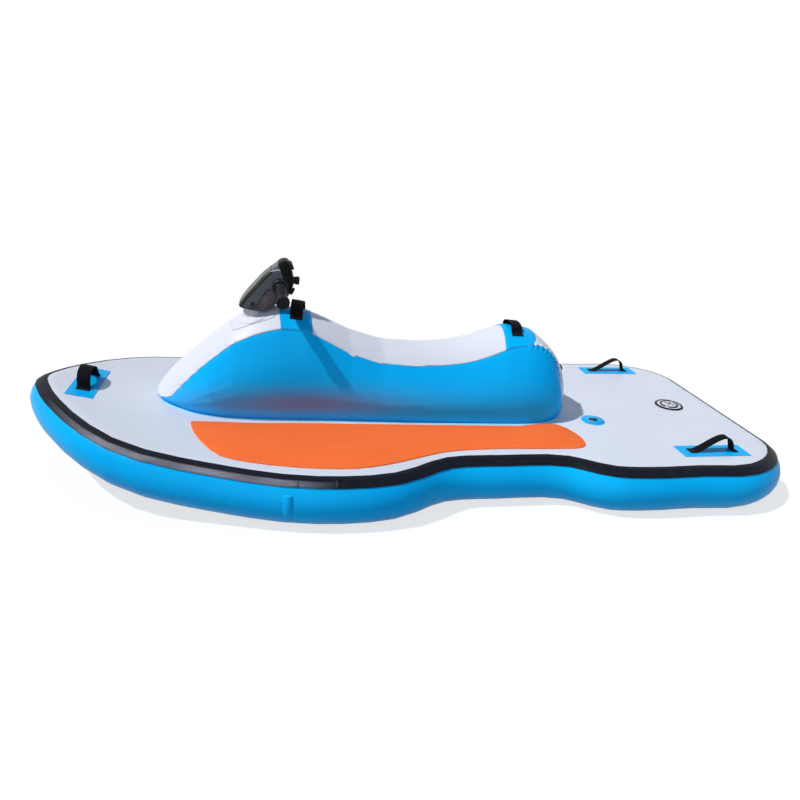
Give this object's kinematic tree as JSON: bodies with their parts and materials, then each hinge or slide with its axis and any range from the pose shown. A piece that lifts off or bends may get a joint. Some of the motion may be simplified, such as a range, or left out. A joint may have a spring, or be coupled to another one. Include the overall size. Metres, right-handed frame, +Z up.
{
  "type": "inflatable personal watercraft",
  "caption": "Drop-stitch inflatable board with a saddle-shaped air bladder, foot pads, webbing handles and a turning handlebar console.",
  "frame": {"origin": "on the floor under the middle of the board's length and breadth", "axes": "+X towards the transom, -X towards the bow, +Y to starboard, +Z up"},
  "size_m": [3.1012, 1.3878, 0.8326],
  "materials": {
    "blue_fabric": "semi-gloss welded PVC-coated fabric",
    "white_fabric": "satin welded PVC-coated fabric",
    "black_webbing": "woven webbing",
    "black_rubber": "satin",
    "orange_foam": "grooved matt foam",
    "black_plastic": "satin moulded",
    "white_plastic": "satin moulded"
  },
  "bodies": {
    "craft": {"hull_body": "blue_fabric", "deck_sheet": "white_fabric", "bottom_sheet": "blue_fabric", "rub_strake": "black_rubber", "hump_bladder": "blue_fabric", "hump_top_panel": "white_fabric", "hump_base_flange": "blue_fabric", "hump_front_patch": "blue_fabric", "hump_rear_patch": "blue_fabric", "console_patch": "white_fabric", "hump_front_handle": "black_webbing", "hump_rear_handle": "black_webbing", "port_foot_pad": "orange_foam", "starboard_foot_pad": "orange_foam", "bow_patch": "blue_fabric", "port_aft_patch": "blue_fabric", "starboard_aft_patch": "blue_fabric", "bow_handle": "black_webbing", "port_aft_handle": "black_webbing", "starboard_aft_handle": "black_webbing", "port_ring_patch": "blue_fabric", "port_ring_tab": "black_webbing", "deck_valve_ring": "black_plastic", "deck_valve_seat": "white_plastic", "deck_valve_cap": "white_plastic", "hump_valve": "black_plastic", "console_boot": "white_fabric"},
    "console": {"console_stem": "black_plastic", "console_housing": "black_plastic", "port_collar": "black_plastic", "starboard_collar": "black_plastic", "port_grip": "black_rubber", "starboard_grip": "black_rubber", "dash_top_cap": "black_plastic", "dash_upper_knob": "black_plastic", "dash_lower_knob": "black_plastic"}
  },
  "joints": [
    {"name": "steering", "type": "hinge", "parent": "craft", "child": "console", "pos_m": [-0.676, 0, 0.64], "axis": [0, 0, 1], "range_deg": [-30, 30]}
  ]
}
